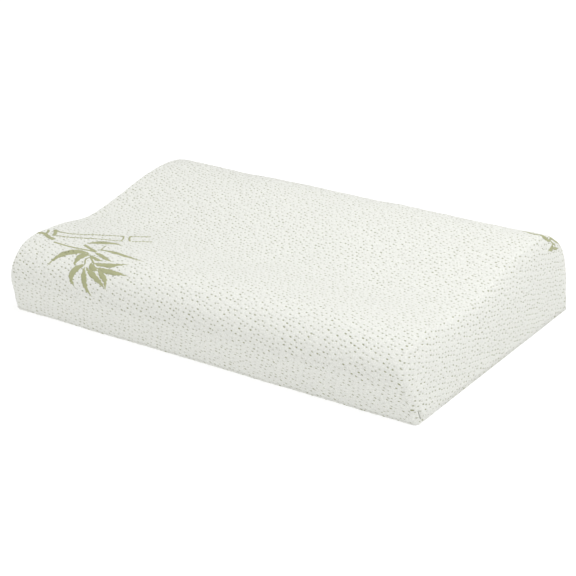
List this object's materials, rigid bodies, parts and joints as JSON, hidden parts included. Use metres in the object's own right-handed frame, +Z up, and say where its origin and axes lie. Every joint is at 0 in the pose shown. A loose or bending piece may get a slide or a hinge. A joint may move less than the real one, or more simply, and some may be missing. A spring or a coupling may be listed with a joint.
{
  "type": "contour bed pillow",
  "caption": "Contour memory foam bed pillow with a low lobe, a dip and a high lobe, in a knitted cover that closes with a zip along the foot of its back wall.",
  "frame": {"origin": "centre of the bounding box, on the flat base the pillow lies on", "axes": "+X along the pillow's length; +Y from the low lobe at the front to the high lobe and the zip at the back; +Z up"},
  "size_m": [0.5, 0.3462, 0.0969],
  "materials": {
    "foam": "open-cell viscoelastic polyurethane foam, cream",
    "liner_fabric": "thin plain white liner fabric",
    "cover_knit": "off-white double knit with small sunken dots, and an olive bamboo sprig on the top",
    "thread": "off-white polyester sewing thread",
    "zip_tape": "woven polyester tape, off-white",
    "zip_coil": "nylon coil, off-white",
    "zip_metal": "white enamelled zinc",
    "label_satin": "blank white satin ribbon"
  },
  "bodies": {
    "pillow": {"foam_core": "foam", "liner_top": "liner_fabric", "liner_base": "liner_fabric", "liner_seam_thread": "thread", "cover_top": "cover_knit", "cover_back_strip": "cover_knit", "cover_base": "cover_knit", "base_seam_thread": "thread", "corner_dart_threads": "thread", "zip_tape_upper": "zip_tape", "zip_tape_lower": "zip_tape", "zip_coil_upper": "zip_coil", "zip_coil_lower": "zip_coil", "zip_top_stops": "zip_metal", "zip_bottom_stop": "zip_metal", "zip_stitching_upper": "thread", "zip_stitching_lower": "thread", "zip_bartacks": "thread", "care_label": "label_satin"},
    "zip_slider": {"zip_slider": "zip_metal"},
    "zip_pull": {"zip_pull": "zip_metal"}
  },
  "joints": [
    {"name": "zip_slide", "type": "slide", "parent": "pillow", "child": "zip_slider", "axis": [1, 0, 0], "range_m": [0, 0.3965]},
    {"name": "pull_hinge", "type": "hinge", "parent": "zip_slider", "child": "zip_pull", "pos_m": [-0.19825, 0.17068, 0.02044], "axis": [0, 0.2341, 0.9722], "range_deg": [0, 170]}
  ]
}
